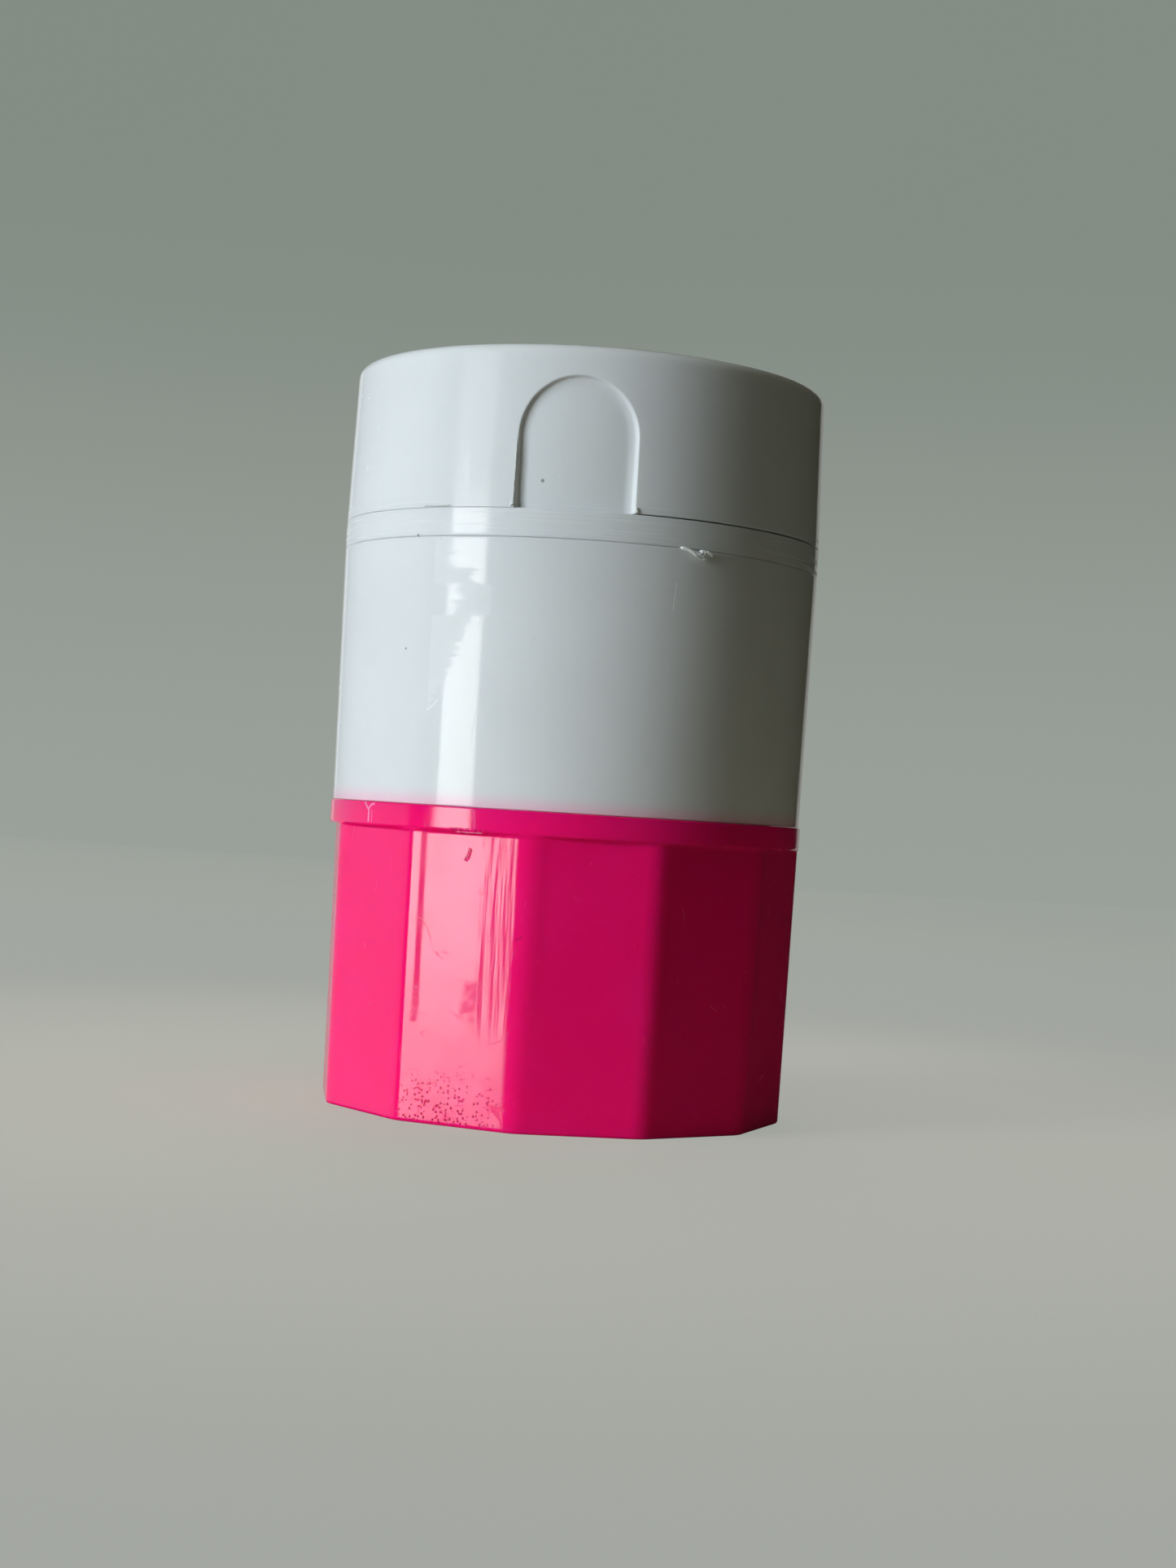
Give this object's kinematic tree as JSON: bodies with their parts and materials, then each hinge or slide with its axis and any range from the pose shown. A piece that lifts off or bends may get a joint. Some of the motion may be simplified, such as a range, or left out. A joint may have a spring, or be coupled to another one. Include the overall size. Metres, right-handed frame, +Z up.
{
  "type": "pill splitter",
  "caption": "Round pill splitter: flip lid with a blade over a V-shaped holder, a pill store, and a screw-on crushing cup with flat grip faces.",
  "frame": {"origin": "middle of the flat foot of the crushing cup, on the surface it stands on", "axes": "+Z up along the axis of the case, from the cup to the lid; -Y towards the thumb recess of the lid; +Y towards the hinge; +X to the right seen from the front"},
  "size_m": [0.043, 0.0459, 0.0653],
  "materials": {
    "white_plastic": "glossy moulded polypropylene, cool white",
    "pink_plastic": "glossy moulded polypropylene, hot pink",
    "guide_plastic": "satin moulded plastic, cool white",
    "silicone": "translucent matt silicone rubber",
    "blade_steel": "stainless strip with a ground edge",
    "pin_steel": "drawn steel wire"
  },
  "bodies": {
    "cup": {"crusher_cup": "pink_plastic"},
    "seal": {"cup_seal": "silicone"},
    "container": {"storage_body": "white_plastic"},
    "cutter": {"cutter_tray": "white_plastic", "pill_guide": "guide_plastic", "hinge_pin": "pin_steel"},
    "lid": {"lid_shell": "white_plastic", "blade_holder": "guide_plastic", "blade": "blade_steel", "blade_pins": "pin_steel"}
  },
  "joints": [
    {"name": "neck_lift", "type": "slide", "parent": "cup", "child": "seal", "axis": [0, 0, 1], "range_m": [0, 0.024]},
    {"name": "cup_screw", "type": "hinge", "parent": "seal", "child": "container", "pos_m": [0, 0, 0.0268], "axis": [0, 0, 1], "range_deg": [0, 2160]},
    {"name": "tray_lift", "type": "slide", "parent": "container", "child": "cutter", "axis": [0, 0, 1], "range_m": [0, 0.03]},
    {"name": "lid_hinge", "type": "hinge", "parent": "cutter", "child": "lid", "pos_m": [0, 0.0226, 0.0517], "axis": [-1, 0, 0], "range_deg": [0, 110]}
  ],
  "couplings": [
    {"joint": "neck_lift", "follows": "cup_screw", "m_per_rad": 0.0006366}
  ]
}
